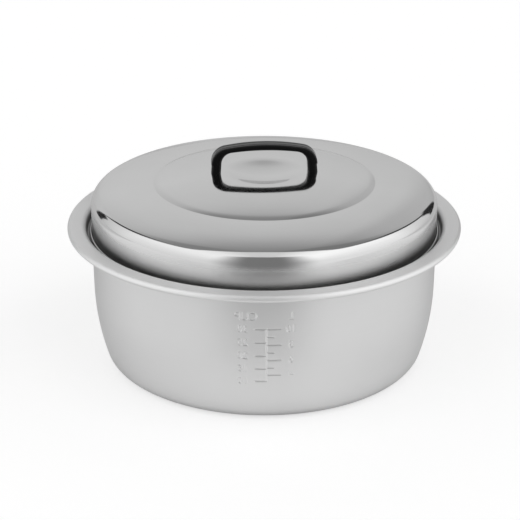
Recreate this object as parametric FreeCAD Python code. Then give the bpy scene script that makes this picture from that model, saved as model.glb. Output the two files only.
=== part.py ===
import FreeCAD, Part
import math
import os

# Inner pot of a large rice cooker, with its lift-off lid.
# Millimetres, +Z up, origin on the resting face under the middle of the pot.
# X runs along the lid's handle, and -Y is the side that faces the cook.

# Pot: one sheet of aluminium, drawn, with an open hem rolled under at the edge of its flange
POT_SHEET = 1.9
FLANGE_TOP = 157.0
FLANGE_RADIUS = 215.0
BODY_RADIUS = 188.4
WALL_TOP_LEAN = 0.4
WALL_FOOT_LEAN = 17.0
WALL_CURVE_RADIUS = 263.0
BASE_CORNER_RADIUS = 16.0
HEM_GAP = 3.6
HEM_LENGTH = 4.0

# Seat in the pot's mouth, where the lid's bead stands
SEAT_DEPTH = 11.0
SEAT_RADIUS = 194.5
SEAT_LIP_RADIUS = 2.2
SEAT_CORNER_RADIUS = 2.0
FLANGE_EDGE_RADIUS = 6.0

# Lid: one sheet of stainless steel, pressed and then beaded at the skirt
LID_SHEET = 0.9
LID_RADIUS = 188.6
LID_GAP = 0.25
DISH_SLOPE = 16.0
DISH_RADIUS = 129.0
DISH_RIM_RADIUS = 40.0
CAP_TOP_SLOPE = 1.0
CAP_EDGE_SLOPE = 13.0
CAP_RADIUS = 317.0
STEP_SLOPE = 24.0
STEP_RADIUS = 40.0
CREASE_RADIUS = 2.0
DOME_TOP_SLOPE = 1.0
DOME_EDGE_SLOPE = 16.5
SHOULDER_RADIUS = 14.5
SKIRT_LENGTH = 29.45
BEAD_BORE_RADIUS = 1.0

# Handle: a moulded arch across the lid's dish, with a cover strip clipped over its back
ARCH_HEIGHT = 32.0
ARCH_DEPTH = 15.2
CROWN_RADIUS = 230.0
CROWN_SWEEP = 10.7
CORNER_RADIUS = 18.0
LEG_LEAN = 5.0
INNER_HEIGHT = 25.5
INNER_CROWN_RADIUS = 300.0
INNER_CROWN_SWEEP = 6.7
INNER_CORNER_RADIUS = 13.0
INNER_LEG_LEAN = 4.0
ARCH_ROUNDING = 2.2
FOOT_OVERLAP = 4.0
COVER_SHEET = 2.4
COVER_DEPTH = 16.2
COVER_ROUNDING = 1.6
COVER_END_HEIGHT = 10.0
COVER_FIT = 0.05
LEG_INSET = 0.7
GROOVE_OFFSET = 3.6
GROOVE_WIDTH = 1.2
GROOVE_DEPTH = 0.7
PEG_RADIUS = 2.0
PEG_LENGTH = 2.0
PEG_OFFSET = 26.0

# Fixings under each foot
SCREW_OFFSET = 52.6
SCREW_RADIUS = 1.75
SCREW_LENGTH = 12.0
SCREW_HEAD_RADIUS = 3.5
SCREW_HEAD_HEIGHT = 2.6
SCREW_HEAD_ROUNDING = 1.2
RECESS_LENGTH = 4.0
RECESS_WIDTH = 1.0
RECESS_DEPTH = 1.3
LID_HOLE_RADIUS = 1.95
INSERT_BORE_RADIUS = 1.8
INSERT_RADIUS = 2.8
INSERT_LENGTH = 8.3
INSERT_RECESS = 1.0
SEAL_RADIUS = 6.0
SEAL_THICKNESS = 1.5
WASHER_RADIUS = 5.5
WASHER_THICKNESS = 1.0

AXIS = FreeCAD.Vector(0, 0, 1)
ORIGIN = FreeCAD.Vector(0, 0, 0)
FAR = 400.0
TOUCH = 1e-3


class SheetPath:
    """One face of a bent sheet, drawn in the plane of radius (X) and height (Z)
    as straight runs and bends that follow on smoothly from each other."""

    def __init__(self, x, z, heading):
        self.x, self.z, self.heading = x, z, heading
        self.runs = []

    def line(self, length):
        start = (self.x, self.z)
        self.x += length * math.cos(math.radians(self.heading))
        self.z += length * math.sin(math.radians(self.heading))
        self.runs.append((start, None, 0.0, self.heading))
        return self

    def line_to_x(self, x):
        return self.line((x - self.x) / math.cos(math.radians(self.heading)))

    def line_to_z(self, z):
        return self.line((z - self.z) / math.sin(math.radians(self.heading)))

    def bend_to(self, heading, radius):
        """Turns to a new heading: anticlockwise if it is larger, clockwise if smaller."""
        side = math.copysign(90.0, heading - self.heading)
        towards = math.radians(self.heading + side)
        start = (self.x, self.z)
        centre = (self.x + radius * math.cos(towards), self.z + radius * math.sin(towards))
        away = math.radians(heading - side)
        self.x = centre[0] + radius * math.cos(away)
        self.z = centre[1] + radius * math.sin(away)
        self.runs.append((start, centre, heading - self.heading, self.heading))
        self.heading = heading
        return self

    def edges(self, offset=0.0):
        """The path moved sideways, to the left of its heading where the offset is positive."""
        ends = [run[0] for run in self.runs[1:]] + [(self.x, self.z)]
        made = []
        for (start, centre, turn, heading), end in zip(self.runs, ends):
            if centre is None:
                side = math.radians(heading + 90.0)
                move = (offset * math.cos(side), offset * math.sin(side))
                first, last = (point(p[0] + move[0], p[1] + move[1]) for p in (start, end))
                made.append(Part.LineSegment(first, last).toShape())
                continue
            radius = math.dist(start, centre)
            radius_there = radius - math.copysign(1.0, turn) * offset
            begin = math.atan2(start[1] - centre[1], start[0] - centre[0])
            angles = (begin + math.radians(turn) * share for share in (0.0, 0.5, 1.0))
            spots = [
                point(centre[0] + radius_there * math.cos(a), centre[1] + radius_there * math.sin(a))
                for a in angles
            ]
            made.append(Part.Arc(*spots).toShape())
        return made

    def sheet(self, thickness):
        """The sheet's section: the path, and the same path moved over by the thickness."""
        return closed_face(self.edges(), self.edges(thickness))


def point(x, z):
    return FreeCAD.Vector(x, 0, z)


def end_points(edges):
    """Where a chain of edges starts and ends, in the order that it was drawn."""
    return edges[0].valueAt(edges[0].FirstParameter), edges[-1].valueAt(edges[-1].LastParameter)


def closed_face(first, second):
    """The face between two chains of edges that run the same way."""
    first_start, first_end = end_points(first)
    second_start, second_end = end_points(second)
    caps = [
        Part.LineSegment(first_start, second_start).toShape(),
        Part.LineSegment(first_end, second_end).toShape(),
    ]
    return flat_face(first + second + caps)


def flat_face(edges):
    """The face inside a loop of edges in the XZ plane, facing -Y."""
    face = Part.Face(Part.Wire(Part.__sortEdges__(edges)))
    if face.normalAt(0, 0).y > 0:
        face.reverse()
    return face


def revolved(face):
    return face.revolve(ORIGIN, AXIS, 360)


def drum(radius, bottom, height, x=0.0):
    return Part.makeCylinder(radius, height, FreeCAD.Vector(x, 0, bottom), AXIS)


def slab(bottom, top):
    """A block that holds everything between two heights."""
    corner = FreeCAD.Vector(-FAR, -FAR, bottom)
    return Part.makeBox(2 * FAR, 2 * FAR, top - bottom, corner)


def at_both_feet(make):
    """The piece under the left foot and the one under the right foot."""
    return Part.makeCompound([make(-SCREW_OFFSET), make(SCREW_OFFSET)])


def pot_path():
    """The pot's outer face, from the middle of the base to the hem's inner end."""
    wall_foot = 90.0 - WALL_FOOT_LEAN
    wall_top = 90.0 - WALL_TOP_LEAN
    seat_underside = FLANGE_TOP - SEAT_DEPTH - POT_SHEET
    lip = SEAT_LIP_RADIUS - POT_SHEET
    curve_turn = math.sin(math.radians(wall_top)) - math.sin(math.radians(wall_foot))
    curve_advance = WALL_CURVE_RADIUS * curve_turn
    corner_advance = BASE_CORNER_RADIUS * math.sin(math.radians(wall_foot))
    path = SheetPath(0, 0, 0)
    path.line_to_x(BODY_RADIUS - curve_advance - corner_advance)
    path.bend_to(wall_foot, BASE_CORNER_RADIUS)
    path.bend_to(wall_top, WALL_CURVE_RADIUS)
    path.line_to_z(seat_underside - lip)
    path.bend_to(0, lip)
    path.line_to_x(SEAT_RADIUS - SEAT_CORNER_RADIUS)
    path.bend_to(90, SEAT_CORNER_RADIUS + POT_SHEET)
    path.line_to_z(FLANGE_TOP - FLANGE_EDGE_RADIUS)
    path.bend_to(0, FLANGE_EDGE_RADIUS - POT_SHEET)
    path.line_to_x(FLANGE_RADIUS - POT_SHEET - HEM_GAP / 2)
    path.bend_to(-180, HEM_GAP / 2)
    path.line(HEM_LENGTH)
    return path


def lid_top_path(height):
    """The lid's outer face from the middle of the dish to the foot of the skirt."""
    path = SheetPath(0, height, 0)
    path.bend_to(DISH_SLOPE, DISH_RADIUS)
    path.bend_to(-CAP_TOP_SLOPE, DISH_RIM_RADIUS)
    path.bend_to(-CAP_EDGE_SLOPE, CAP_RADIUS)
    path.bend_to(-STEP_SLOPE, STEP_RADIUS)
    path.bend_to(-DOME_TOP_SLOPE, CREASE_RADIUS)
    turn = math.sin(math.radians(DOME_EDGE_SLOPE)) - math.sin(math.radians(DOME_TOP_SLOPE))
    shoulder_advance = SHOULDER_RADIUS * (1 - math.sin(math.radians(DOME_EDGE_SLOPE)))
    path.bend_to(-DOME_EDGE_SLOPE, (LID_RADIUS - shoulder_advance - path.x) / turn)
    path.bend_to(-90, SHOULDER_RADIUS)
    path.line(SKIRT_LENGTH)
    return path


def dish_middle_height():
    """Height of the dish's middle that stands the lid's bead on the seat."""
    bead_middle = FLANGE_TOP - SEAT_DEPTH + LID_GAP + BEAD_BORE_RADIUS + LID_SHEET
    return bead_middle - lid_top_path(0.0).z


def dish_rise():
    """How far the dish's rim stands above its middle."""
    slope = math.cos(math.radians(DISH_SLOPE))
    return DISH_RADIUS * (1 - slope) + DISH_RIM_RADIUS * (1 - slope)


def lid_under_height(radius):
    """Height of the lid's inner face at a radius on the cap, near the dish's rim."""
    start = lid_top_path(DISH_MIDDLE).runs[2]
    return start[1][1] + math.sqrt((CAP_RADIUS - LID_SHEET) ** 2 - (radius - start[1][0]) ** 2)


DISH_MIDDLE = dish_middle_height()
LID_CREST = DISH_MIDDLE + dish_rise()


def lid_shell():
    path = lid_top_path(DISH_MIDDLE)
    path.bend_to(90, BEAD_BORE_RADIUS)
    path.bend_to(180, BEAD_BORE_RADIUS)
    shell = revolved(path.sheet(-LID_SHEET))
    for x in (-SCREW_OFFSET, SCREW_OFFSET):
        shell = shell.cut(drum(LID_HOLE_RADIUS, FLANGE_TOP, FAR, x))
    return shell


def under_lid():
    """Everything below the lid's outer face, for shaping what stands on the lid."""
    path = lid_top_path(DISH_MIDDLE)
    bottom = path.z
    rim = [
        Part.LineSegment(point(path.x, bottom), point(0, bottom)).toShape(),
        Part.LineSegment(point(0, bottom), point(0, DISH_MIDDLE)).toShape(),
    ]
    return revolved(flat_face(path.edges() + rim))


def half_arch(height, crown_radius, crown_sweep, corner_radius, lean):
    """One half of an arch's line, from the middle of its crown down into the lid."""
    path = SheetPath(0, LID_CREST + height, 0)
    path.bend_to(-crown_sweep, crown_radius)
    path.bend_to(lean - 90.0, corner_radius)
    path.line_to_z(LID_CREST - FOOT_OVERLAP)
    return path


def outer_arch():
    return half_arch(ARCH_HEIGHT, CROWN_RADIUS, CROWN_SWEEP, CORNER_RADIUS, LEG_LEAN)


def inner_arch():
    sizes = INNER_HEIGHT, INNER_CROWN_RADIUS, INNER_CROWN_SWEEP, INNER_CORNER_RADIUS, INNER_LEG_LEAN
    return half_arch(*sizes)


def both_halves(face, depth, middle=0.0):
    """A half arch's face made solid over a depth along Y, with its mirror image."""
    half = face.extrude(FreeCAD.Vector(0, depth, 0))
    half.translate(FreeCAD.Vector(0, middle - depth / 2, 0))
    return half.fuse(half.mirror(ORIGIN, FreeCAD.Vector(1, 0, 0))).removeSplitter()


def arch_block(inset, depth):
    """The whole arch, with its outer line moved in by an inset."""
    return both_halves(closed_face(outer_arch().edges(-inset), inner_arch().edges()), depth)


def arch_skin(inset, depth, middle=0.0):
    """What lies between the arch's outer line and the same line moved in."""
    return both_halves(outer_arch().sheet(-inset), depth, middle)


def side_edges_along(solid, depth, line):
    """The edges of an arch's two side faces that follow one of the arch's lines."""
    found = []
    for edge in solid.Edges:
        middle = edge.valueAt((edge.FirstParameter + edge.LastParameter) / 2)
        on_a_side = edge.BoundBox.YLength < TOUCH and abs(abs(middle.y) - depth / 2) < TOUCH
        spot = Part.Vertex(point(abs(middle.x), middle.z))
        if on_a_side and min(spot.distToShape(stretch)[0] for stretch in line) < TOUCH:
            found.append(edge)
    return found


def handle_body():
    """The arch itself: full legs up to the cover's ends, then a core for the cover to lie on."""
    seam = LID_CREST + COVER_END_HEIGHT
    legs = arch_block(LEG_INSET, ARCH_DEPTH).common(slab(LID_CREST - FAR, seam))
    core = arch_block(COVER_SHEET, ARCH_DEPTH).common(slab(seam, LID_CREST + FAR))
    body = legs.fuse(core).removeSplitter()
    rounded = side_edges_along(body, ARCH_DEPTH, inner_arch().edges())
    rounded += side_edges_along(body, ARCH_DEPTH, outer_arch().edges(-LEG_INSET))
    body = body.makeFillet(ARCH_ROUNDING, rounded).cut(under_lid())
    for x in (-SCREW_OFFSET, SCREW_OFFSET):
        body = body.cut(drum(INSERT_RADIUS, LID_CREST - FAR, FAR + INSERT_RECESS + INSERT_LENGTH, x))
    for x in (-PEG_OFFSET, PEG_OFFSET):
        body = body.cut(peg(x, COVER_FIT))
    return body


def cover_underside_height(x):
    """Height of the core's back, where the cover lies on it, under the crown."""
    middle = LID_CREST + ARCH_HEIGHT - CROWN_RADIUS
    return middle + math.sqrt((CROWN_RADIUS - COVER_SHEET) ** 2 - x**2)


def peg(x, room=0.0):
    """A peg that holds the cover on the core, or the hole for one."""
    top = cover_underside_height(x) + COVER_SHEET / 2
    length = COVER_SHEET / 2 + PEG_LENGTH + room
    return drum(PEG_RADIUS + room, top - length, length, x)


def handle_cover():
    """The strip over the arch's back, with two grip grooves and two pegs under it."""
    seam = LID_CREST + COVER_END_HEIGHT + COVER_FIT
    cover = arch_skin(COVER_SHEET, COVER_DEPTH).common(slab(seam, LID_CREST + FAR))
    rounded = side_edges_along(cover, COVER_DEPTH, outer_arch().edges())
    cover = cover.makeFillet(COVER_ROUNDING, rounded)
    for middle in (-GROOVE_OFFSET, GROOVE_OFFSET):
        cover = cover.cut(arch_skin(GROOVE_DEPTH, GROOVE_WIDTH, middle))
    return cover.fuse([peg(-PEG_OFFSET), peg(PEG_OFFSET)]).removeSplitter()


def threaded_insert(x):
    bottom = LID_CREST + INSERT_RECESS
    bore = drum(INSERT_BORE_RADIUS, bottom, INSERT_LENGTH, x)
    return drum(INSERT_RADIUS, bottom, INSERT_LENGTH, x).cut(bore)


def seal_bottom():
    return lid_under_height(SCREW_OFFSET) - SEAL_THICKNESS


def sealing_washer(x):
    """Soft washer that takes the shape of the lid's inner face above it."""
    bottom = seal_bottom()
    ring = drum(SEAL_RADIUS, bottom, 2 * SEAL_THICKNESS, x).cut(drum(SCREW_RADIUS, bottom, FAR, x))
    inner_face = lid_top_path(DISH_MIDDLE)
    cavity_edges = inner_face.edges(-LID_SHEET)
    top, foot = end_points(cavity_edges)
    closing = [
        Part.LineSegment(foot, point(0, foot.z)).toShape(),
        Part.LineSegment(point(0, foot.z), top).toShape(),
    ]
    cavity = revolved(flat_face(cavity_edges + closing))
    return ring.common(cavity)


def flat_washer(x):
    bottom = seal_bottom() - WASHER_THICKNESS
    return drum(WASHER_RADIUS, bottom, WASHER_THICKNESS, x).cut(drum(LID_HOLE_RADIUS, bottom, FAR, x))


def screw(x):
    """Pan-head screw with a cross recess, driven from inside the lid."""
    under_head = seal_bottom() - WASHER_THICKNESS
    bottom = under_head - SCREW_HEAD_HEIGHT
    head = drum(SCREW_HEAD_RADIUS, bottom, SCREW_HEAD_HEIGHT, x)
    lower_rim = [e for e in head.Edges if abs(e.BoundBox.ZMax - bottom) < TOUCH and e.Closed]
    head = head.makeFillet(SCREW_HEAD_ROUNDING, lower_rim)
    for length, width in ((RECESS_LENGTH, RECESS_WIDTH), (RECESS_WIDTH, RECESS_LENGTH)):
        corner = FreeCAD.Vector(x - length / 2, -width / 2, bottom)
        head = head.cut(Part.makeBox(length, width, RECESS_DEPTH, corner))
    return head.fuse(drum(SCREW_RADIUS, under_head, SCREW_LENGTH, x)).removeSplitter()


PIECES = {
    "inner_pot": lambda: revolved(pot_path().sheet(POT_SHEET)),
    "lid_shell": lid_shell,
    "handle_body": handle_body,
    "handle_cover": handle_cover,
    "threaded_inserts": lambda: at_both_feet(threaded_insert),
    "sealing_washers": lambda: at_both_feet(sealing_washer),
    "flat_washers": lambda: at_both_feet(flat_washer),
    "handle_screws": lambda: at_both_feet(screw),
}

os.makedirs("parts", exist_ok=True)
for name, make in PIECES.items():
    shape = make()
    shape.exportStep("parts/" + name + ".step")
    print(name, len(shape.Solids), "solids", shape.isValid(), round(shape.Volume), "mm3")
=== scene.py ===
"""Looks of a large rice cooker's inner pot and its lift-off lid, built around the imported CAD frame."""

import math

import bmesh
import bpy
import numpy as np
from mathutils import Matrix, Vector
from mathutils.bvhtree import BVHTree


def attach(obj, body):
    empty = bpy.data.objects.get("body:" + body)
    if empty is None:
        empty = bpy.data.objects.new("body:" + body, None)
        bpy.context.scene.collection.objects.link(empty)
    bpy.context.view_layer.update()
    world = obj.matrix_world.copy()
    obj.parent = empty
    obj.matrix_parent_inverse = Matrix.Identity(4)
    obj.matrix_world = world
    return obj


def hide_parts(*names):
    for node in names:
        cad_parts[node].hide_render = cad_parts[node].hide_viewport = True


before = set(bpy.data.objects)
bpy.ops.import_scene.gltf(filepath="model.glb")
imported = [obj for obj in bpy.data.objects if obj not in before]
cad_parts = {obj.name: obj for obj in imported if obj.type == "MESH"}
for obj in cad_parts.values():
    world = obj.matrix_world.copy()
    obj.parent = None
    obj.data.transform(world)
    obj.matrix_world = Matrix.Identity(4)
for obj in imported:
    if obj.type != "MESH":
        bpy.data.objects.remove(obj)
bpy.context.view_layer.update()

MM = 0.001
WHITE = (1.0, 1.0, 1.0)

# Pot, as it is drawn in the solids
POT_SHEET = 1.9 * MM
FLANGE_TOP = 157.0 * MM
FLANGE_RADIUS = 215.0 * MM
BODY_RADIUS = 188.4 * MM
WALL_TOP_LEAN = 0.4
WALL_FOOT_LEAN = 17.0
WALL_CURVE_RADIUS = 263.0 * MM
BASE_CORNER_RADIUS = 16.0 * MM
HEM_GAP = 3.6 * MM
HEM_LENGTH = 4.0 * MM
SEAT_DEPTH = 11.0 * MM
SEAT_RADIUS = 194.5 * MM
SEAT_LIP_RADIUS = 2.2 * MM
SEAT_CORNER_RADIUS = 2.0 * MM
FLANGE_EDGE_RADIUS = 6.0 * MM

# Lid, as it is drawn in the solids
LID_SHEET = 0.9 * MM
LID_RADIUS = 188.6 * MM
LID_GAP = 0.25 * MM
DISH_SLOPE = 16.0
DISH_RADIUS = 129.0 * MM
DISH_RIM_RADIUS = 40.0 * MM
CAP_TOP_SLOPE = 1.0
CAP_EDGE_SLOPE = 13.0
CAP_RADIUS = 317.0 * MM
STEP_SLOPE = 24.0
STEP_RADIUS = 40.0 * MM
CREASE_RADIUS = 2.0 * MM
DOME_TOP_SLOPE = 1.0
DOME_EDGE_SLOPE = 16.5
SHOULDER_RADIUS = 14.5 * MM
SKIRT_LENGTH = 29.45 * MM
BEAD_BORE_RADIUS = 1.0 * MM

# Handle, as it is drawn in the solids
ARCH_HEIGHT = 32.0 * MM
ARCH_DEPTH = 15.2 * MM
CROWN_RADIUS = 230.0 * MM
CROWN_SWEEP = 10.7
CORNER_RADIUS = 18.0 * MM
LEG_LEAN = 5.0
INNER_HEIGHT = 25.5 * MM
INNER_CROWN_RADIUS = 300.0 * MM
INNER_CROWN_SWEEP = 6.7
INNER_CORNER_RADIUS = 13.0 * MM
INNER_LEG_LEAN = 4.0
ARCH_ROUNDING = 2.2 * MM
CORE_ROUNDING = 0.05 * MM
FOOT_OVERLAP = 4.0 * MM
FOOT_SINK = 0.1 * MM
COVER_SHEET = 2.4 * MM
COVER_DEPTH = 16.2 * MM
COVER_ROUNDING = 1.6 * MM
COVER_END_HEIGHT = 10.0 * MM
LEG_INSET = 0.7 * MM
GROOVE_OFFSET = 3.6 * MM
GROOVE_WIDTH = 1.2 * MM
GROOVE_DEPTH = 0.7 * MM
GROOVE_TAPER = 0.12 * MM

# Level scale stamped in the pot's wall, read from inside; offsets run to the right as seen from outside
SCALE_AZIMUTH = -2.6
SCALE_TOP = 47.4 * MM
LITRE_PITCH = 8.69 * MM
CUP_PITCH = 14.94 * MM
STROKE = 0.55 * MM
LITRE_MARKS = 7
LITRE_NUMBERS = (10, 8, 6, 4)
MARKS_PER_NUMBER = 2
CUP_NUMBERS = (30, 25, 20, 15, 10)
LONG_TICK = 13.7 * MM
SHORT_TICK = 6.6 * MM
CUP_TICK = 11.0 * MM
TICK_GAP = 0.8 * MM
NUMBER_SIZE = 11.5 * MM
HEAD_SIZE = 12.5 * MM
LETTER_THINNING = 0.04
HEAD_DEPTH = 33.7 * MM
LITRE_COLUMN = 25.0 * MM
CUP_COLUMN = -24.5 * MM
CUP_HEAD_COLUMN = -20.8 * MM
RELIEF = 0.60 * MM
RELIEF_CORE = 0.1 * MM
RELIEF_EDGE = 0.65 * MM

# Part of the wall that holds the level scale, with depths below the flange
WINDOW_HALF_WIDTH = 37.0 * MM
WINDOW_TOP = 26.0 * MM
WINDOW_FOOT = 113.0 * MM
TRUE_WALL_TOP = 20.0 * MM
TRUE_WALL_FOOT = 125.0 * MM

# How finely the forms are divided
RUN_STEP = 5.0 * MM
BEND_STEP = 5.0
POT_COLUMNS = 192
LID_COLUMNS = 256
CROWN_STEPS = 12
CORNER_STEPS = 14
LEG_STEPS = 2
FOOT_STEPS = 5
SEAM_SPOT = CROWN_STEPS + CORNER_STEPS + LEG_STEPS
ROUNDING_STEPS = 5
TICK_POINTS = 7
SCALE_LINE_STEPS = 39
LETTER_STEPS = 3
WINDOW_CUTS = 4
STROKE_CUTS = 2
STROKE_ROOM = 1.2 * MM
TRUE_WALL_POINTS = 400
MERGE_DISTANCE = 0.001 * MM
TURNED_SHARP_ANGLE = 50
SWEPT_SHARP_ANGLE = 40

# Metals: how far the fine lines change tone and roughness, and how long the lines are
LINE_TONE = 0.012
LINE_GLOSS = 0.02
LINE_LENGTHWISE = 6.0

# Pot's metal: a painted highlight that makes the band below the flange's top lighter, and rougher, and
# painted shade that darkens the lid's seat; spans are below the flange or the seat
FLANGE_HIGHLIGHT_FOOT = 6.0 * MM
FLANGE_HIGHLIGHT_TOP = 3.0 * MM
FLANGE_PAINTED_HIGHLIGHT = 0.14
FLANGE_HIGHLIGHT_GLOSS = 0.08
SEAT_SHADE_FOOT = 3.0 * MM
SEAT_SHADE_TOP = 1.0 * MM
SEAT_SHADE_EDGE = 1.5 * MM
SEAT_PAINTED_SHADE = -0.38
BRUSHED = 0.6
BRUSHED_TURN = 0.25

# Lid's metal: brushed below the shoulder, and painted shade that darkens it low on the skirt
BRUSHED_BELOW = 6.0 * MM
MIRROR_ABOVE = 4.0 * MM
SKIRT_GLOSS = 0.20
SKIRT_SHADE_FOOT = 7.0 * MM
SKIRT_SHADE_TOP = 25.0 * MM
SKIRT_PAINTED_SHADE = -0.18

# Black resin: the grain of its mould, and patches smoother from handling
GRAIN_SIZE = 0.35 * MM
GRAIN_DETAIL = 2.0
GRAIN_TONE = 0.001
GRAIN_GLOSS = 0.03
GRAIN_DEPTH = 0.02 * MM
RESIN_PATCH = 9.0 * MM
RESIN_SPECULAR = 0.28

# Silicone of the sealing washers
SILICONE_PATCH = 1.5 * MM
SILICONE_SHADE = (0.52, 0.60)
SILICONE_ROUGHNESS = (0.55, 0.70)
SILICONE_DEPTH = 0.02 * MM
SILICONE_STRENGTH = 0.4

# Camera, fitted to the flange, wall and base in the photograph
CAMERA_AZIMUTH = -3.4
CAMERA_ELEVATION = 21.32
CAMERA_DISTANCE = 1.8015
CAMERA_LENS = 113.5
CAMERA_SENSOR = 36.0
CAMERA_AIM_LEFT = 4.5 * MM
CAMERA_AIM_DOWN = 47.0 * MM

# White table that the pot stands on; its front edge lies below the picture
TABLE_FRONT = -0.50
TABLE_REACH = 20.0
TABLE_DROP = 0.2 * MM
TABLE_SHADE = 0.50
TABLE_GLOW = 0.60

# Table as the metal mirrors it, with painted light and shade: by distance to the side, towards the back, and
# a painted shadow under the pot
TABLE_PAINTED_SIDE_STOPS = ((0.0, 0.92), (0.05, 0.92), (0.20, 0.70), (0.35, 0.70), (0.60, 0.95), (1.0, 1.0))
TABLE_PAINTED_BACK = (0.1, 0.5)
TABLE_PAINTED_BACK_LEVEL = 0.5
TABLE_PAINTED_SHADOW = (0.165, 0.200)
TABLE_PAINTED_SHADOW_LEVEL = 0.25

# Wall behind: by height, from left to right, and darker to both sides
NEVER_ZERO = 0.001
ROOM_SIDES = (-0.6, 0.6)
WALL_STOPS = (
    (0.0, 0.78), (0.20, 0.83), (0.36, 0.85), (0.50, 0.80), (0.60, 0.76), (0.66, 0.71), (0.716, 0.62),
    (0.767, 0.50), (0.812, 0.40), (0.866, 0.34), (1.0, 0.32),
)
WALL_RIGHT_LEVEL = 0.90
WALL_RIGHT_SHADE = (0.20, 0.32)
WALL_RIGHT_SHADE_LEVEL = 0.84
WALL_LEFT_SHADE = (-0.45, -0.22)
WALL_LEFT_SHADE_LEVEL = 0.90

# Light overhead: from its middle to its ends, from left to right, and towards the back
LIGHT_STOPS = ((0.0, 0.84), (0.09, 0.86), (0.25, 1.2), (0.375, 1.3), (0.5, 1.25), (0.667, 1.12), (0.95, 1.0))
LIGHT_LEFT_LEVEL = 0.97
LIGHT_RIGHT_LEVEL = 1.08
LIGHT_BACK = (0.1, 0.65)
LIGHT_BACK_LEVEL = 0.72

# Dark part of the room, behind the camera
DARK_SIDES = (0.18, 0.75)
DARK_TOP = (1.4, 1.6)
DARK_LEVEL = 0.25

# Back edge of the light: slope and start of its middle and of its sides
EDGE_MIDDLE = (-0.62, 0.22)
EDGE_SIDES = (1.82, -1.167)
EDGE_ROUNDING = 0.35
EDGE_SOFTNESS = 0.03

# Dark gap along that edge, and the dark stand at each end
GAP_WIDTH = (0.40, 0.50)
GAP_START = (0.55, 0.85)
STAND_SHIFT = 0.14
STAND_INNER = (0.72, 0.76)
STAND_OUTER = (1.10, 1.16)
STAND_TOP = (0.52, 0.62)
STAND_LEVEL = 0.03


class Wiring:
    """Adds nodes to a tree and joins their sockets."""

    def __init__(self, tree):
        self.tree = tree

    def add(self, kind, inputs=None, **settings):
        node = self.tree.nodes.new(kind)
        for name, value in settings.items():
            setattr(node, name, value)
        for socket, value in (inputs or {}).items():
            if isinstance(value, bpy.types.NodeSocket):
                self.link(value, node.inputs[socket])
            else:
                node.inputs[socket].default_value = value
        return node

    def link(self, source, socket):
        self.tree.links.new(source, socket)

    def math(self, operation, *values):
        inputs = dict(enumerate(values))
        return self.add("ShaderNodeMath", inputs, operation=operation).outputs[0]

    def product(self, first, *factors):
        for factor in factors:
            first = self.math("MULTIPLY", first, factor)
        return first

    def vector(self, operation, inputs):
        return self.add("ShaderNodeVectorMath", inputs, operation=operation).outputs[0]

    def fade(self, value, start, end, low=0.0, high=1.0):
        """A smooth step from low, at start, to high, at end."""
        inputs = {"Value": value, "From Min": start, "From Max": end, "To Min": low, "To Max": high}
        return self.add("ShaderNodeMapRange", inputs, interpolation_type="SMOOTHSTEP").outputs[0]

    def spread(self, value, low, high):
        """A number from 0 to 1 carried over to the span from low to high."""
        return self.add("ShaderNodeMapRange", {"Value": value, "To Min": low, "To Max": high}).outputs[0]

    def blend(self, share, first, second):
        """A number that goes from the first value to the second with the share."""
        return self.add("ShaderNodeMix", {0: share, 2: first, 3: second}).outputs[0]

    def ramp(self, value, stops):
        """A level that follows stops of position and brightness."""
        node = self.add("ShaderNodeValToRGB", {"Fac": value})
        elements = node.color_ramp.elements
        while len(elements) < len(stops):
            elements.new(0.5)
        for element, (position, level) in zip(elements, stops):
            element.position = position
            element.color = (level, level, level, 1.0)
        return node.outputs["Color"]


class SheetLine:
    """One face of a bent sheet, in the plane of radius and height: runs and bends without a corner."""

    def __init__(self, radius, height, heading=0.0):
        self.spots = [(radius, height, heading)]

    def run(self, length, steps=None):
        radius, height, heading = self.spots[-1]
        steps = steps or max(1, math.ceil(length / RUN_STEP))
        across = math.cos(math.radians(heading))
        up = math.sin(math.radians(heading))
        for step in range(1, steps + 1):
            along = length * step / steps
            self.spots.append((radius + along * across, height + along * up, heading))
        return self

    def run_to_radius(self, radius):
        start, _, heading = self.spots[-1]
        return self.run((radius - start) / math.cos(math.radians(heading)))

    def run_to_height(self, height, steps=None):
        _, start, heading = self.spots[-1]
        return self.run((height - start) / math.sin(math.radians(heading)), steps)

    def bend_to(self, heading, bend_radius, steps=None):
        """Turns to a new heading: anticlockwise if it is larger, clockwise if smaller."""
        radius, height, start = self.spots[-1]
        turn = heading - start
        length = bend_radius * math.radians(abs(turn))
        steps = steps or max(math.ceil(abs(turn) / BEND_STEP), math.ceil(length / RUN_STEP))
        reach = math.copysign(bend_radius, turn)
        for step in range(1, steps + 1):
            now = start + turn * step / steps
            across = math.sin(math.radians(now)) - math.sin(math.radians(start))
            up = math.cos(math.radians(start)) - math.cos(math.radians(now))
            self.spots.append((radius + reach * across, height + reach * up, now))
        return self

    def moved(self, offset):
        """The line's points moved to the left of their heading."""
        return [
            (
                radius - offset * math.sin(math.radians(heading)),
                height + offset * math.cos(math.radians(heading)),
            )
            for radius, height, heading in self.spots
        ]

    def sheet(self, thickness):
        """The sheet's section: out along the line and back along its other face."""
        return self.moved(0.0) + self.moved(thickness)[::-1]


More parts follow.
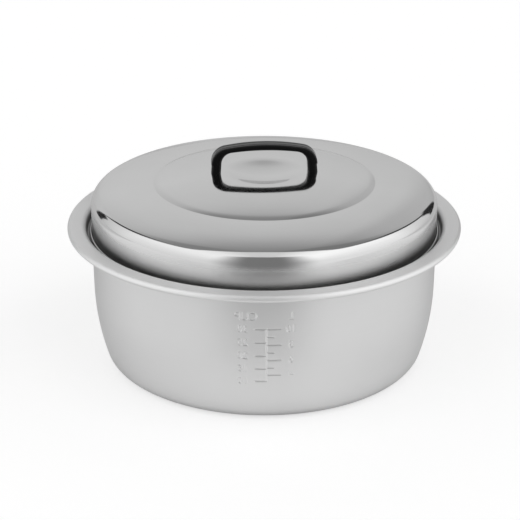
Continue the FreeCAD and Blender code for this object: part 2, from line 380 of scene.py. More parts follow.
def pot_line():
    """The pot's outer face, from the middle of the base to the hem's inner end."""
    wall_foot = 90.0 - WALL_FOOT_LEAN
    wall_top = 90.0 - WALL_TOP_LEAN
    lip = SEAT_LIP_RADIUS - POT_SHEET
    curve_turn = math.sin(math.radians(wall_top)) - math.sin(math.radians(wall_foot))
    corner_turn = math.sin(math.radians(wall_foot))
    line = SheetLine(0.0, 0.0)
    line.run_to_radius(BODY_RADIUS - WALL_CURVE_RADIUS * curve_turn - BASE_CORNER_RADIUS * corner_turn)
    line.bend_to(wall_foot, BASE_CORNER_RADIUS)
    line.bend_to(wall_top, WALL_CURVE_RADIUS)
    line.run_to_height(FLANGE_TOP - SEAT_DEPTH - POT_SHEET - lip)
    line.bend_to(0, lip)
    line.run_to_radius(SEAT_RADIUS - SEAT_CORNER_RADIUS)
    line.bend_to(90, SEAT_CORNER_RADIUS + POT_SHEET)
    line.run_to_height(FLANGE_TOP - FLANGE_EDGE_RADIUS)
    line.bend_to(0, FLANGE_EDGE_RADIUS - POT_SHEET)
    line.run_to_radius(FLANGE_RADIUS - POT_SHEET - HEM_GAP / 2)
    line.bend_to(-180, HEM_GAP / 2)
    line.run(HEM_LENGTH)
    return line


def lid_line(height):
    """The lid's outer face, from the middle of the dish to the foot of the skirt."""
    turn = math.sin(math.radians(DOME_EDGE_SLOPE)) - math.sin(math.radians(DOME_TOP_SLOPE))
    shoulder = SHOULDER_RADIUS * (1 - math.sin(math.radians(DOME_EDGE_SLOPE)))
    line = SheetLine(0.0, height)
    line.bend_to(DISH_SLOPE, DISH_RADIUS)
    line.bend_to(-CAP_TOP_SLOPE, DISH_RIM_RADIUS)
    line.bend_to(-CAP_EDGE_SLOPE, CAP_RADIUS)
    line.bend_to(-STEP_SLOPE, STEP_RADIUS)
    line.bend_to(-DOME_TOP_SLOPE, CREASE_RADIUS)
    line.bend_to(-DOME_EDGE_SLOPE, (LID_RADIUS - shoulder - line.spots[-1][0]) / turn)
    line.bend_to(-90, SHOULDER_RADIUS)
    line.run(SKIRT_LENGTH)
    return line


def lid_height(radius):
    """Height of the lid's outer face at a radius inside its shoulder."""
    spots = [spot for spot in lid_line(DISH_MIDDLE).spots if spot[0] < LID_RADIUS - SHOULDER_RADIUS]
    return float(np.interp(radius, [spot[0] for spot in spots], [spot[1] for spot in spots]))


BEAD_MIDDLE = FLANGE_TOP - SEAT_DEPTH + LID_GAP + BEAD_BORE_RADIUS + LID_SHEET
DISH_MIDDLE = BEAD_MIDDLE - lid_line(0.0).spots[-1][1]
LID_CREST = max(spot[1] for spot in lid_line(DISH_MIDDLE).spots)
SKIRT_TOP = BEAD_MIDDLE + SKIRT_LENGTH


def new_tree(name, inputs):
    """A Geometry Nodes tree with named inputs and a material, and its input and output nodes."""
    tree = bpy.data.node_groups.new(name, "GeometryNodeTree")
    tree.interface.new_socket("Geometry", in_out="INPUT", socket_type="NodeSocketGeometry")
    for label, kind in {**inputs, "Material": "Material"}.items():
        tree.interface.new_socket(label, in_out="INPUT", socket_type="NodeSocket" + kind)
    tree.interface.new_socket("Geometry", in_out="OUTPUT", socket_type="NodeSocketGeometry")
    wiring = Wiring(tree)
    return wiring, wiring.add("NodeGroupInput").outputs, wiring.add("NodeGroupOutput").inputs


def end_tree(wiring, shape, given, result):
    """Ends a tree with real geometry in its material."""
    whole = wiring.add("GeometryNodeRealizeInstances", {0: shape.outputs[0]})
    dressed = wiring.add("GeometryNodeSetMaterial", {0: whole.outputs[0], "Material": given["Material"]})
    wiring.link(dressed.outputs[0], result[0])
    return wiring.tree


def run_tree(name, mesh, tree, values):
    """Puts a mesh through a tree and returns the plain mesh that comes out."""
    helper = bpy.data.objects.new(name, mesh)
    bpy.context.scene.collection.objects.link(helper)
    modifier = helper.modifiers.new(tree.name, "NODES")
    modifier.node_group = tree
    for item in tree.interface.items_tree:
        if item.in_out == "INPUT" and item.name in values:
            modifier[item.identifier] = values[item.name]
    helper.update_tag()
    made = evaluated_mesh(helper)
    made.name = name
    bpy.data.objects.remove(helper)
    return made


def evaluated_mesh(helper):
    """A plain mesh of what an object shows."""
    depsgraph = bpy.context.evaluated_depsgraph_get()
    return bpy.data.meshes.new_from_object(helper.evaluated_get(depsgraph))


def lathe_tree():
    """Turns a row of section points, given as radius along X and height along Z, about the Z axis."""
    wiring, given, result = new_tree("Lathe", {"Columns": "Int"})
    rows = wiring.add("GeometryNodeAttributeDomainSize", {0: given["Geometry"]}).outputs["Point Count"]
    across = wiring.math("ADD", given["Columns"], 1)
    grid = wiring.add("GeometryNodeMeshGrid", {"Vertices X": rows, "Vertices Y": across})
    index = wiring.add("GeometryNodeInputIndex").outputs[0]
    row = wiring.math("FLOOR", wiring.math("DIVIDE", wiring.math("ADD", index, 0.5), across))
    column = wiring.math("SUBTRACT", index, wiring.math("MULTIPLY", row, across))
    angle = wiring.math("MULTIPLY", wiring.math("DIVIDE", column, given["Columns"]), math.tau)
    place = wiring.add("GeometryNodeInputPosition").outputs[0]
    section = wiring.add("GeometryNodeSampleIndex", data_type="FLOAT_VECTOR", domain="POINT")
    wiring.link(given["Geometry"], section.inputs["Geometry"])
    wiring.link(place, section.inputs["Value"])
    wiring.link(row, section.inputs["Index"])
    turned = wiring.add(
        "ShaderNodeVectorRotate", {"Vector": section.outputs[0], "Angle": angle}, rotation_type="Z_AXIS")
    shape = wiring.add("GeometryNodeSetPosition", {0: grid.outputs[0], "Position": turned.outputs[0]})
    closed = wiring.add("GeometryNodeMergeByDistance", {0: shape.outputs[0], "Distance": MERGE_DISTANCE})
    smooth = wiring.add("GeometryNodeSetShadeSmooth", {0: closed.outputs[0]})
    return end_tree(wiring, smooth, given, result)


LATHE = lathe_tree()


def lathed(name, section, columns, material):
    """A closed body of revolution with faces that point outwards."""
    points = bpy.data.meshes.new(name + "_section")
    points.from_pydata([(radius, 0.0, height) for radius, height in section], [], [])
    mesh = run_tree(name, points, LATHE, {"Columns": columns, "Material": material})
    shape = bmesh.new()
    shape.from_mesh(mesh)
    bmesh.ops.recalc_face_normals(shape, faces=shape.faces)
    shape.to_mesh(mesh)
    shape.free()
    mesh.set_sharp_from_angle(angle=math.radians(TURNED_SHARP_ANGLE))
    return mesh


def piece(name, mesh, body, slot, *nodes):
    """Shows a mesh as a piece that rides on a body and stands for CAD nodes."""
    shown = bpy.data.objects.new(name, mesh)
    bpy.context.scene.collection.objects.link(shown)
    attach(shown, body)
    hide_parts(*nodes)


def new_material(name):
    """A material with only its output and shader, ready for its own nodes."""
    material = bpy.data.materials.new(name)
    material.use_nodes = True
    wiring = Wiring(material.node_tree)
    shader = material.node_tree.nodes["Principled BSDF"]
    return material, wiring, shader.inputs


def own_place(wiring):
    """A point's place in the object."""
    return wiring.add("ShaderNodeTexCoord").outputs["Object"]


def own_axes(wiring):
    """A point's X, Y and Z in the object."""
    return wiring.add("ShaderNodeSeparateXYZ", {0: own_place(wiring)}).outputs


def axis_distance(wiring):
    """How far a point lies from the Z axis."""
    axes = own_axes(wiring)
    squares = [wiring.math("POWER", axes[axis], 2.0) for axis in "XY"]
    return wiring.math("SQRT", wiring.math("ADD", *squares))


def turned_lines(wiring, spacing):
    """Fine uneven lines round the Z axis, on walls and on flat faces alike, from 0 to 1."""
    axes = own_axes(wiring)
    across = wiring.math("ADD", axis_distance(wiring), axes["Z"])
    inputs = {axis: wiring.math("MULTIPLY", axes[axis], LINE_LENGTHWISE) for axis in "XY"}
    inputs["Z"] = wiring.math("DIVIDE", across, spacing)
    vector = wiring.add("ShaderNodeCombineXYZ", inputs)
    noise = wiring.add("ShaderNodeTexNoise", {"Vector": vector.outputs[0], "Scale": 1.0, "Detail": 3.0})
    return noise.outputs["Fac"]


def cloudy(wiring, size, detail=3.0):
    """Soft uneven patches of about one size, from 0 to 1."""
    inputs = {"Vector": own_place(wiring), "Scale": 1.0 / size, "Detail": detail}
    return wiring.add("ShaderNodeTexNoise", inputs).outputs["Fac"]


def height_share(wiring, low, high):
    """How far up a point lies between two heights, from 0 to 1."""
    return wiring.fade(own_axes(wiring)["Z"], low, high)


def round_axis(wiring):
    """The direction round the Z axis at each point."""
    round_z = wiring.vector("CROSS_PRODUCT", {0: (0.0, 0.0, 1.0), 1: own_place(wiring)})
    return wiring.vector("NORMALIZE", {0: round_z})


def raised(wiring, height, depth, strength=0.5):
    """The normal of a surface whose height follows a value, over a depth in metres."""
    inputs = {"Height": height, "Distance": depth, "Strength": strength}
    return wiring.add("ShaderNodeBump", inputs).outputs[0]


def dress(wiring, shader, tone, gloss, tint=WHITE):
    """Gives a shader its colour, of one tint and as bright as the tone, and its roughness."""
    channels = [wiring.math("MULTIPLY", tone, share) for share in tint]
    colour = wiring.add("ShaderNodeCombineColor", dict(enumerate(channels)))
    wiring.link(colour.outputs[0], shader["Base Color"])
    wiring.link(gloss, shader["Roughness"])


def uneven(wiring, fine, fine_span, coarse, coarse_span):
    """A value that follows coarse patches over a span, and fine marks by a little more or less."""
    small = wiring.spread(fine, -fine_span, fine_span)
    return wiring.math("ADD", small, wiring.spread(coarse, *coarse_span))


def metal(name, shade, roughness, line_spacing, line_depth, patch, edge=1.0):
    """A turned or spun metal: lines round its axis, and patches where it is more or less bright."""
    material, wiring, shader = new_material(name)
    lines = turned_lines(wiring, line_spacing)
    patches = cloudy(wiring, patch)
    tone = uneven(wiring, lines, LINE_TONE, patches, shade)
    gloss = uneven(wiring, lines, LINE_GLOSS, patches, roughness)
    wiring.link(raised(wiring, lines, line_depth), shader["Normal"])
    shader["Metallic"].default_value = 1.0
    shader["Specular Tint"].default_value = (edge, edge, edge, 1.0)
    return material, wiring, shader, tone, gloss


def plain_metal(name, tint=WHITE, **sizes):
    """A metal with nothing but its own lines and patches."""
    material, wiring, shader, tone, gloss = metal(name, **sizes)
    dress(wiring, shader, tone, gloss, tint)
    return material


def satin_aluminium():
    """The pot's metal: satin and brushed round the wall, with a painted highlight at the flange and painted
    shade on the seat.
    """
    material, wiring, shader, tone, gloss = metal(
        "satin_aluminium", shade=(0.73, 0.77), roughness=(0.42, 0.50),
        line_spacing=0.9 * MM, line_depth=0.004 * MM, patch=60.0 * MM, edge=0.72)
    # Painted highlight: the band just below the flange's top is made lighter, standing in for the overhead
    # light on the rolled rim; it is also made rougher
    tone_and_gloss_share = height_share(wiring, FLANGE_TOP - FLANGE_HIGHLIGHT_FOOT, FLANGE_TOP - FLANGE_HIGHLIGHT_TOP)
    tone = wiring.math("ADD", tone, wiring.spread(tone_and_gloss_share, 0.0, FLANGE_PAINTED_HIGHLIGHT))
    gloss = wiring.math("ADD", gloss, wiring.spread(tone_and_gloss_share, 0.0, FLANGE_HIGHLIGHT_GLOSS))
    seat = FLANGE_TOP - SEAT_DEPTH
    # Painted shade: the lid's seat, in the groove between pot and lid, is darkened where shade falls
    seat_shade = wiring.product(
        height_share(wiring, seat - SEAT_SHADE_FOOT, seat - SEAT_SHADE_TOP),
        wiring.fade(axis_distance(wiring), SEAT_RADIUS, SEAT_RADIUS + SEAT_SHADE_EDGE, 1.0, 0.0),
    )
    tone = wiring.math("ADD", tone, wiring.spread(seat_shade, 0.0, SEAT_PAINTED_SHADE))
    dress(wiring, shader, tone, gloss)
    wiring.link(round_axis(wiring), shader["Tangent"])
    shader["Anisotropic"].default_value = BRUSHED
    shader["Anisotropic Rotation"].default_value = BRUSHED_TURN
    return material


def polished_steel():
    """The lid's metal: a mirror on top, brushed round its side, and painted shade that darkens it low on the
    skirt.
    """
    material, wiring, shader, tone, gloss = metal(
        "polished_steel", shade=(0.65, 0.68), roughness=(0.07, 0.10),
        line_spacing=0.5 * MM, line_depth=0.0004 * MM, patch=45.0 * MM, edge=0.85)
    top = height_share(wiring, SKIRT_TOP - BRUSHED_BELOW, SKIRT_TOP + MIRROR_ABOVE)
    gloss = wiring.math("ADD", gloss, wiring.spread(top, SKIRT_GLOSS, 0.0))
    # Painted shade: the skirt is darkened towards its foot, next to the groove
    unshaded = height_share(wiring, BEAD_MIDDLE + SKIRT_SHADE_FOOT, BEAD_MIDDLE + SKIRT_SHADE_TOP)
    tone = wiring.math("ADD", tone, wiring.spread(unshaded, SKIRT_PAINTED_SHADE, 0.0))
    dress(wiring, shader, tone, gloss)
    return material


def soft_silicone():
    """The rubber of the sealing washers."""
    material, wiring, shader = new_material("soft_silicone")
    patches = cloudy(wiring, SILICONE_PATCH)
    tone = wiring.spread(patches, *SILICONE_SHADE)
    dress(wiring, shader, tone, wiring.spread(patches, *SILICONE_ROUGHNESS))
    wiring.link(raised(wiring, patches, SILICONE_DEPTH, SILICONE_STRENGTH), shader["Normal"])
    return material


def black_resin(name, shade, roughness):
    """A moulded resin with the fine even grain of its mould, smoother in patches from handling."""
    material, wiring, shader = new_material(name)
    grain = cloudy(wiring, GRAIN_SIZE, GRAIN_DETAIL)
    tone_and_gloss_share = cloudy(wiring, RESIN_PATCH)
    tone = uneven(wiring, grain, GRAIN_TONE, tone_and_gloss_share, shade)
    dress(wiring, shader, tone, uneven(wiring, grain, GRAIN_GLOSS, tone_and_gloss_share, roughness))
    wiring.link(raised(wiring, grain, GRAIN_DEPTH), shader["Normal"])
    shader["Specular IOR Level"].default_value = RESIN_SPECULAR
    return material


def plain_mesh(name, points, faces):
    """A mesh from points and faces, with doubles merged and its faces turned outwards."""
    shape = bmesh.new()
    corners = [shape.verts.new(point) for point in points]
    for face in faces:
        shape.faces.new([corners[index] for index in face])
    bmesh.ops.remove_doubles(shape, verts=shape.verts, dist=MERGE_DISTANCE)
    bmesh.ops.recalc_face_normals(shape, faces=shape.faces)
    mesh = bpy.data.meshes.new(name)
    shape.to_mesh(mesh)
    shape.free()
    return mesh


def swept(name, rings, material):
    """A closed skin through rings of points, with its two ends covered."""
    size = len(rings[0])
    points = [point for ring in rings for point in ring]
    faces = [tuple(range(size)), tuple(range(len(points) - size, len(points)))]
    for ring in range(len(rings) - 1):
        for index in range(size):
            following = (index + 1) % size
            first, second = ring * size, (ring + 1) * size
            faces.append((first + index, first + following, second + following, second + index))
    mesh = plain_mesh(name, points, faces)
    mesh.materials.append(material)
    mesh.shade_smooth()
    mesh.set_sharp_from_angle(angle=math.radians(SWEPT_SHARP_ANGLE))
    return mesh


def arch_half(height, crown_radius, crown_sweep, corner_radius, lean):
    """Half of an arch's line, from the middle of its crown down to the lid, with a stop at the seam."""
    line = SheetLine(0.0, LID_CREST + height)
    line.bend_to(-crown_sweep, crown_radius, CROWN_STEPS)
    line.bend_to(lean - 90.0, corner_radius, CORNER_STEPS)
    line.run_to_height(LID_CREST + COVER_END_HEIGHT, LEG_STEPS)
    line.run_to_height(LID_CREST - FOOT_OVERLAP, FOOT_STEPS)
    return line


def outer_arch():
    return arch_half(ARCH_HEIGHT, CROWN_RADIUS, CROWN_SWEEP, CORNER_RADIUS, LEG_LEAN)


def inner_arch():
    sizes = INNER_HEIGHT, INNER_CROWN_RADIUS, INNER_CROWN_SWEEP, INNER_CORNER_RADIUS, INNER_LEG_LEAN
    return arch_half(*sizes)


def both_sides(half):
    """A half arch's rings of points and their mirror images, from one foot to the other."""
    left = [[(-x, y, z) for x, y, z in ring] for ring in half[:0:-1]]
    return left + half


def rounded_block(inner, outer, depth, inner_rounding, outer_rounding):
    """A ring round an arch's section, from its inner to its outer point, with rounded corners."""
    inner, outer = Vector((inner[0], 0.0, inner[1])), Vector((outer[0], 0.0, outer[1]))
    up = (outer - inner).normalized()
    height = (outer - inner).length
    ring = []
    for corner in range(4):
        rounding = outer_rounding if corner in (1, 2) else inner_rounding
        level = height - rounding if corner in (1, 2) else rounding
        side = (depth / 2 - rounding) * (1 if corner in (0, 1) else -1)
        for step in range(ROUNDING_STEPS + 1):
            turn = math.radians(-90 + 90 * corner + 90 * step / ROUNDING_STEPS)
            spot = inner + up * (level + rounding * math.sin(turn))
            ring.append((spot.x, side + rounding * math.cos(turn), spot.z))
    return ring


def handle_arch(material):
    """The arch: full legs up to the cover's ends, then a core for the cover to lie on."""
    inner = inner_arch().moved(0.0)
    core = outer_arch().moved(-COVER_SHEET)
    legs = outer_arch().moved(-LEG_INSET)
    rings = []
    for spot in range(SEAM_SPOT + 1):
        rings.append(rounded_block(inner[spot], core[spot], ARCH_DEPTH, ARCH_ROUNDING, CORE_ROUNDING))
    for spot in range(SEAM_SPOT, len(inner)):
        rings.append(rounded_block(inner[spot], legs[spot], ARCH_DEPTH, ARCH_ROUNDING, ARCH_ROUNDING))
    rings[-1] = [(x, y, lid_height(math.hypot(x, y)) - FOOT_SINK) for x, y, _ in rings[-1]]
    return swept("handle_arch", both_sides(rings), material)


def cover_section():
    """Half-width and depth below the back of each point round the cover's section."""
    half = COVER_DEPTH / 2
    points = [(half, COVER_SHEET)]
    for step in range(ROUNDING_STEPS + 1):
        turn = math.radians(90 * step / ROUNDING_STEPS)
        across = half - COVER_ROUNDING + COVER_ROUNDING * math.cos(turn)
        points.append((across, COVER_ROUNDING - COVER_ROUNDING * math.sin(turn)))
    for across in (GROOVE_OFFSET + GROOVE_WIDTH / 2, GROOVE_OFFSET - GROOVE_WIDTH / 2):
        inwards = math.copysign(GROOVE_TAPER, GROOVE_OFFSET - across)
        groove = [(across, 0.0), (across + inwards, GROOVE_DEPTH)]
        points += groove if across > GROOVE_OFFSET else groove[::-1]
    return points + [(-across, depth) for across, depth in points[::-1]]


def handle_strip(material):
    """The strip over the arch's back, with two grip grooves along it."""
    section = cover_section()
    depths = sorted({depth for _, depth in section})
    lines = {depth: outer_arch().moved(-depth) for depth in depths}
    rings = []
    for spot in range(SEAM_SPOT + 1):
        ring = []
        for across, depth in section:
            radius, height = lines[depth][spot]
            ring.append((radius, across, height))
        rings.append(ring)
    return swept("handle_strip", both_sides(rings), material)


def wall_radius(height, depth):
    """Radius of the pot's wall at a height, on its outer face or at a depth in the sheet."""
    wall_top = FLANGE_TOP - 2 * SEAT_DEPTH
    spots = pot_line().moved(depth)
    wall = [spot for spot in spots if spot[0] > BODY_RADIUS / 2 and spot[1] < wall_top]
    return np.interp(height, [spot[1] for spot in wall], [spot[0] for spot in wall])


def tick_tree():
    """Short strokes in a column, every second one of another length, from X = 0 to their length."""
    lengths = {"First Length": "Float", "Second Length": "Float", "Stroke": "Float"}
    wiring, given, result = new_tree("Ticks", {"Count": "Int", "Pitch": "Float", **lengths})
    step = wiring.add("ShaderNodeCombineXYZ", {"Y": wiring.math("MULTIPLY", given["Pitch"], -1.0)})
    column = wiring.add("GeometryNodeMeshLine", {"Count": given["Count"], "Offset": step.outputs[0]})
    index = wiring.add("GeometryNodeInputIndex").outputs[0]
    second = wiring.math("MODULO", index, 2.0)
    length = wiring.blend(second, given["First Length"], given["Second Length"])
    scale = wiring.add("ShaderNodeCombineXYZ", {"X": length, "Y": given["Stroke"], "Z": 1.0})
    plate = wiring.add(
        "GeometryNodeMeshGrid",
        {"Size X": 1.0, "Size Y": 1.0, "Vertices X": TICK_POINTS, "Vertices Y": 2},
    )
    from_zero = wiring.add(
        "GeometryNodeTransform", {"Geometry": plate.outputs[0], "Translation": (0.5, 0.0, 0.0)})
    strokes = wiring.add(
        "GeometryNodeInstanceOnPoints",
        {"Points": column.outputs[0], "Instance": from_zero.outputs[0], "Scale": scale.outputs[0]},
    )
    return end_tree(wiring, strokes, given, result)


TICKS = tick_tree()


def flat_ticks(name, count, pitch, first, second):
    """A column of ticks as a flat mesh."""
    values = {"Count": count, "Pitch": pitch, "First Length": first, "Second Length": second}
    return run_tree(name, bpy.data.meshes.new(name), TICKS, {**values, "Stroke": STROKE})


def flat_words(words, size):
    """Plain lettering as a flat mesh, centred on the origin."""
    curve = bpy.data.curves.new(words, "FONT")
    curve.body = words
    curve.size = size
    curve.align_x = "CENTER"
    curve.align_y = "CENTER"
    curve.resolution_u = LETTER_STEPS
    curve.offset = -LETTER_THINNING * size
    helper = bpy.data.objects.new(words, curve)
    bpy.context.scene.collection.objects.link(helper)
    mesh = evaluated_mesh(helper)
    bpy.data.objects.remove(helper)
    return mesh


def flat_upright(length):
    """The scale's upright stroke as a flat mesh, down from the origin."""
    points = [
        (side * STROKE / 2, -along, 0.0)
        for along in np.linspace(0.0, length, SCALE_LINE_STEPS + 1)
        for side in (-1, 1)
    ]
    faces = [(2 * n, 2 * n + 1, 2 * n + 3, 2 * n + 2) for n in range(SCALE_LINE_STEPS)]
    return plain_mesh("scale_line", points, faces)


def scale_pattern():
    """The level scale's flat strokes: mesh, offset to the right, depth below the flange, mirrored or not."""
    cup_marks = len(CUP_NUMBERS)
    litre_ticks = flat_ticks("litre_ticks", LITRE_MARKS, LITRE_PITCH, LONG_TICK, SHORT_TICK)
    cup_ticks = flat_ticks("cup_ticks", cup_marks, CUP_PITCH, CUP_TICK, CUP_TICK)
    marks = [
        (litre_ticks, TICK_GAP, SCALE_TOP, False),
        (cup_ticks, -TICK_GAP, SCALE_TOP, True),
        (flat_words("L", HEAD_SIZE), LITRE_COLUMN, HEAD_DEPTH, True),
        (flat_words("CUP", HEAD_SIZE), CUP_HEAD_COLUMN, HEAD_DEPTH, True),
        (flat_upright((cup_marks - 1) * CUP_PITCH), 0.0, SCALE_TOP, False),
    ]
    for step, number in enumerate(LITRE_NUMBERS):
        depth = SCALE_TOP + MARKS_PER_NUMBER * step * LITRE_PITCH
        marks.append((flat_words(str(number), NUMBER_SIZE), LITRE_COLUMN, depth, True))
    for step, number in enumerate(CUP_NUMBERS):
        depth = SCALE_TOP + step * CUP_PITCH
        marks.append((flat_words(str(number), NUMBER_SIZE), CUP_COLUMN, depth, True))
    return marks


def scale_stamp():
    """The level scale laid on the outer and on the inner face of the wall."""
    points, faces = [], []
    for mesh, offset, depth, mirrored in scale_pattern():
        for face_depth in (0.0, POT_SHEET):
            start = len(points)
            for vertex in mesh.vertices:
                across = offset - vertex.co.x if mirrored else offset + vertex.co.x
                height = FLANGE_TOP - depth + vertex.co.y
                radius = wall_radius(height, face_depth)
                angle = math.radians(SCALE_AZIMUTH) + across / BODY_RADIUS
                points.append((radius * math.sin(angle), -radius * math.cos(angle), height))
            faces += [[start + index for index in face.vertices] for face in mesh.polygons]
    stamp = bpy.data.meshes.new("scale_stamp")
    stamp.from_pydata(points, [], faces)
    return stamp


def relief_tree():
    """Presses a wall in, towards the Z axis, where a stamp lies on it."""
    sizes = {"Stamp": "Object", "Relief": "Float", "Core": "Float", "Edge": "Float"}
    wiring, given, result = new_tree("Relief", sizes)
    stamp = wiring.add("GeometryNodeObjectInfo", {"Object": given["Stamp"]}).outputs["Geometry"]
    near = wiring.add("GeometryNodeProximity", {0: stamp}, target_element="FACES").outputs["Distance"]
    depth = wiring.fade(near, given["Core"], given["Edge"], given["Relief"], 0.0)
    inwards = wiring.math("MULTIPLY", depth, -1.0)
    place = wiring.add("GeometryNodeInputPosition").outputs[0]
    flat = wiring.vector("MULTIPLY", {0: place, 1: (1.0, 1.0, 0.0)})
    away = wiring.vector("NORMALIZE", {0: flat})
    push = wiring.vector("SCALE", {0: away, "Scale": inwards})
    pushed = wiring.add("GeometryNodeSetPosition", {0: given["Geometry"], "Offset": push})
    return end_tree(wiring, pushed, given, result)


def in_scale_window(point):
    """Is a point of the wall in the part that the level scale covers, with a little room round it?"""
    angle = math.atan2(point.x, -point.y) - math.radians(SCALE_AZIMUTH)
    across = abs(angle) * BODY_RADIUS < WINDOW_HALF_WIDTH
    return across and WINDOW_TOP < FLANGE_TOP - point.z < WINDOW_FOOT


def window_faces(shape):
    """The faces in the level scale's part of the wall, each with its middle."""
    middles = [(face, face.calc_center_median()) for face in shape.faces]
    return [(face, middle) for face, middle in middles if in_scale_window(middle)]


def divided(shape, faces, cuts):
    """Cuts faces and their edges into a finer grid."""
    edges = list(dict.fromkeys(edge for face in faces for edge in face.edges))
    bmesh.ops.subdivide_edges(shape, edges=edges, cuts=cuts, use_grid_fill=True)


def on_true_wall(shape):
    """Brings the points of the level scale's part of the wall onto its true faces."""
    heights = np.linspace(FLANGE_TOP - TRUE_WALL_FOOT, FLANGE_TOP - TRUE_WALL_TOP, TRUE_WALL_POINTS)
    walls = [wall_radius(heights, depth) for depth in (0.0, POT_SHEET)]
    for vertex in shape.verts:
        if in_scale_window(vertex.co):
            radius = math.hypot(vertex.co.x, vertex.co.y)
            faces = [np.interp(vertex.co.z, heights, wall) for wall in walls]
            true = min(faces, key=lambda face: abs(face - radius))
            vertex.co.x *= true / radius
            vertex.co.y *= true / radius


def divided_wall(mesh, stamp):
    """Divides the wall where the level scale goes, and more finely along its strokes."""
    shape = bmesh.new()
    shape.from_mesh(mesh)
    divided(shape, [face for face, _ in window_faces(shape)], WINDOW_CUTS)
    on_true_wall(shape)
    corners = [vertex.co for vertex in stamp.vertices]
    strokes = BVHTree.FromPolygons(corners, [face.vertices for face in stamp.polygons])
    beside = [
        face for face, middle in window_faces(shape)
        if strokes.find_nearest(middle, STROKE_ROOM)[0] is not None
    ]
    divided(shape, beside, STROKE_CUTS)
    on_true_wall(shape)
    shape.to_mesh(mesh)
    shape.free()


def stamped_pot(material):
    """The drawn pot with its level scale pressed in through the wall."""
    strokes = scale_stamp()
    blank = lathed("pot_blank", pot_line().sheet(POT_SHEET), POT_COLUMNS, material)
    divided_wall(blank, strokes)
    stamp = bpy.data.objects.new("scale_stamp", strokes)
    bpy.context.scene.collection.objects.link(stamp)
    sizes = {"Relief": RELIEF, "Core": RELIEF_CORE, "Edge": RELIEF_EDGE}
    mesh = run_tree("pot", blank, relief_tree(), {"Stamp": stamp, **sizes, "Material": material})
    bpy.data.objects.remove(stamp)
    return mesh


def add_camera():
    """Stands the camera where the photograph was taken from."""
    azimuth = math.radians(CAMERA_AZIMUTH)
    elevation = math.radians(CAMERA_ELEVATION)
    back = Vector(
        (
            math.sin(azimuth) * math.cos(elevation),
            -math.cos(azimuth) * math.cos(elevation),
            math.sin(elevation),
        )
    )
    right = Vector((math.cos(azimuth), math.sin(azimuth), 0.0))
    up = back.cross(right)
    middle = Vector((0.0, 0.0, FLANGE_TOP))
    place = middle + back * CAMERA_DISTANCE
    aim = middle - right * CAMERA_AIM_LEFT - up * CAMERA_AIM_DOWN
    camera = bpy.data.objects.new("camera", bpy.data.cameras.new("camera"))
    bpy.context.scene.collection.objects.link(camera)
    camera.data.lens = CAMERA_LENS
    camera.data.sensor_width = CAMERA_SENSOR
    camera.location = place
    camera.rotation_mode = "QUATERNION"
    camera.rotation_quaternion = (aim - place).to_track_quat("-Z", "Y")
    bpy.context.scene.camera = camera


def table_white():
    """The table's paint: white to the camera, and of uneven brightness where the metal mirrors it, with
    painted light and shade across it and towards the back, and a painted shadow under the pot.
    """
    material, wiring, shader = new_material("table_white")
    shader["Base Color"].default_value = (TABLE_SHADE, TABLE_SHADE, TABLE_SHADE, 1.0)
    shader["Roughness"].default_value = 1.0
    shader["Specular IOR Level"].default_value = 0.0
    shader["Emission Color"].default_value = (*WHITE, 1.0)
    path = wiring.add("ShaderNodeLightPath").outputs
    axes = own_axes(wiring)
    # Painted light and shade in the glow that the metal mirrors, with a painted shadow under the pot
    mirrored = wiring.product(
        wiring.math("ADD", path["Is Glossy Ray"], path["Is Transmission Ray"]),
        wiring.ramp(wiring.math("ABSOLUTE", axes["X"]), TABLE_PAINTED_SIDE_STOPS),
        wiring.fade(axes["Y"], *TABLE_PAINTED_BACK, 1.0, TABLE_PAINTED_BACK_LEVEL),
        wiring.fade(axis_distance(wiring), *TABLE_PAINTED_SHADOW, TABLE_PAINTED_SHADOW_LEVEL, 1.0),
    )
    seen = wiring.math("ADD", path["Is Camera Ray"], mirrored)
    wiring.link(wiring.math("MULTIPLY", seen, TABLE_GLOW), shader["Emission Strength"])
    return material


def add_table():
    """A white table: wide and deep, with its front edge a little below the picture."""
    corners = [
        (-TABLE_REACH, TABLE_FRONT, -TABLE_DROP),
        (TABLE_REACH, TABLE_FRONT, -TABLE_DROP),
        (TABLE_REACH, TABLE_REACH, -TABLE_DROP),
        (-TABLE_REACH, TABLE_REACH, -TABLE_DROP),
    ]
    mesh = bpy.data.meshes.new("table")
    mesh.from_pydata(corners, [], [(0, 1, 2, 3)])
    mesh.materials.append(table_white())
    table = bpy.data.objects.new("table", mesh)
    bpy.context.scene.collection.objects.link(table)


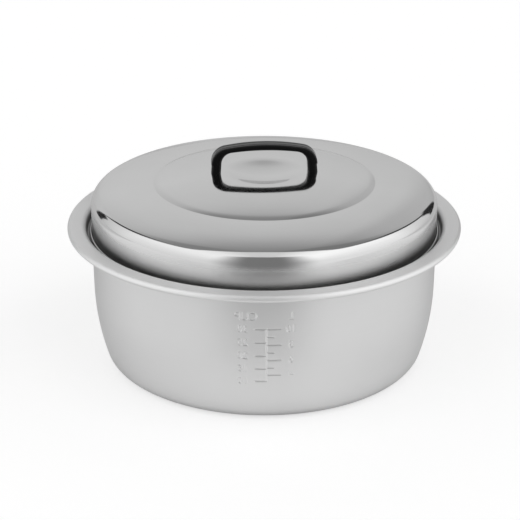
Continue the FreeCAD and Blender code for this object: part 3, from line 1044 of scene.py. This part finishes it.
def add_studio():
    """The room as the polished lid sees it: a pale wall behind, a soft light overhead, dark in front."""
    world = bpy.data.worlds.new("studio")
    bpy.context.scene.world = world
    world.use_nodes = True
    wiring = Wiring(world.node_tree)
    background = world.node_tree.nodes["Background"]
    turned = wiring.add(
        "ShaderNodeMapping",
        {
            "Vector": wiring.add("ShaderNodeTexCoord").outputs["Generated"],
            "Rotation": (0.0, 0.0, -math.radians(CAMERA_AZIMUTH)),
        },
        vector_type="POINT",
    )
    axes = wiring.add("ShaderNodeSeparateXYZ", {0: turned.outputs[0]}).outputs
    side = wiring.math("ABSOLUTE", axes["X"])
    rise = wiring.math("MAXIMUM", axes["Z"], NEVER_ZERO)
    away = wiring.math("MAXIMUM", axes["Y"], NEVER_ZERO)
    near = wiring.math("MAXIMUM", wiring.math("MULTIPLY", axes["Y"], -1.0), NEVER_ZERO)
    lean = wiring.math("DIVIDE", axes["X"], away)
    # The wall behind gets darker towards its top, a little towards the right, and towards both sides
    wall = wiring.product(
        wiring.ramp(axes["Z"], WALL_STOPS),
        wiring.fade(axes["X"], *ROOM_SIDES, 1.0, WALL_RIGHT_LEVEL),
        wiring.fade(lean, *WALL_RIGHT_SHADE, 1.0, WALL_RIGHT_SHADE_LEVEL),
        wiring.fade(lean, *WALL_LEFT_SHADE, WALL_LEFT_SHADE_LEVEL, 1.0),
    )
    # The light overhead is brighter towards its ends, more so on the right, and dimmer at the back
    sideways = wiring.math("DIVIDE", side, wiring.math("ADD", side, rise))
    lights = wiring.product(
        wiring.ramp(sideways, LIGHT_STOPS),
        wiring.fade(axes["X"], *ROOM_SIDES, LIGHT_LEFT_LEVEL, LIGHT_RIGHT_LEVEL),
        wiring.fade(axes["Y"], *LIGHT_BACK, 1.0, LIGHT_BACK_LEVEL),
    )
    # The room is dark behind the camera
    on_dark = wiring.product(
        wiring.fade(wiring.math("DIVIDE", side, near), *DARK_SIDES, 1.0, 0.0),
        wiring.fade(wiring.math("DIVIDE", axes["Z"], near), *DARK_TOP, 1.0, 0.0),
    )
    front = wiring.blend(on_dark, lights, DARK_LEVEL)
    # The light's back edge bows forwards over the pot, then runs back along both sides of the wall
    ceiling_side = wiring.math("DIVIDE", side, rise)
    ceiling_away = wiring.math("DIVIDE", axes["Y"], rise)
    middle = wiring.math("MULTIPLY_ADD", ceiling_side, *EDGE_MIDDLE)
    sides = wiring.math("MULTIPLY_ADD", ceiling_side, *EDGE_SIDES)
    edge = wiring.math("SMOOTH_MAX", middle, sides, EDGE_ROUNDING)
    past_edge = wiring.math("SUBTRACT", ceiling_away, edge)
    behind = wiring.fade(past_edge, -EDGE_SOFTNESS, EDGE_SOFTNESS)
    room = wiring.blend(behind, front, wall)
    # A dark gap lies along that edge at the sides, and a dark stand closes it at each end
    stand_side = wiring.math("ABSOLUTE", wiring.math("ADD", lean, STAND_SHIFT))
    outside = wiring.fade(stand_side, *STAND_INNER)
    on_gap = wiring.product(
        behind,
        wiring.fade(past_edge, *GAP_WIDTH, 1.0, 0.0),
        wiring.fade(ceiling_side, *GAP_START),
        outside,
    )
    on_stand = wiring.product(
        outside,
        wiring.fade(stand_side, *STAND_OUTER, 1.0, 0.0),
        wiring.fade(wiring.math("DIVIDE", axes["Z"], away), *STAND_TOP, 1.0, 0.0),
    )
    room = wiring.blend(wiring.math("MAXIMUM", on_gap, on_stand), room, STAND_LEVEL)
    seen = wiring.add("ShaderNodeLightPath").outputs["Is Camera Ray"]
    wiring.link(wiring.blend(seen, room, 1.0), background.inputs["Color"])
    background.inputs["Strength"].default_value = 1.0


bpy.context.scene.view_settings.view_transform = "Standard"
add_camera()
add_table()
add_studio()

piece("pot", stamped_pot(satin_aluminium()), "pot", "pot_aluminium", "inner_pot")

lid_edge = lid_line(DISH_MIDDLE).bend_to(90, BEAD_BORE_RADIUS).bend_to(180, BEAD_BORE_RADIUS)
lid_mesh = lathed("lid", lid_edge.sheet(-LID_SHEET), LID_COLUMNS, polished_steel())
piece("lid", lid_mesh, "lid", "lid_steel", "lid_shell")

arch_resin = black_resin("handle_resin", shade=(0.002, 0.0035), roughness=(0.16, 0.24))
strip_resin = black_resin("cover_resin", shade=(0.003, 0.0045), roughness=(0.18, 0.26))
piece("handle_arch", handle_arch(arch_resin), "lid", "handle_black", "handle_body")
piece("handle_strip", handle_strip(strip_resin), "lid", "cover_black", "handle_cover")

stainless = plain_metal(
    "plain_stainless", shade=(0.52, 0.58), roughness=(0.24, 0.34),
    line_spacing=0.3 * MM, line_depth=0.003 * MM, patch=4.0 * MM)
brass = plain_metal(
    "turned_brass", tint=(1.0, 0.76, 0.35), shade=(0.68, 0.74), roughness=(0.22, 0.32),
    line_spacing=0.25 * MM, line_depth=0.004 * MM, patch=3.0 * MM)
fixings = {
    "threaded_inserts": brass,
    "sealing_washers": soft_silicone(),
    "flat_washers": stainless,
    "handle_screws": stainless,
}
for name, finish in fixings.items():
    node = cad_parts[name]
    node.data.materials.clear()
    node.data.materials.append(finish)
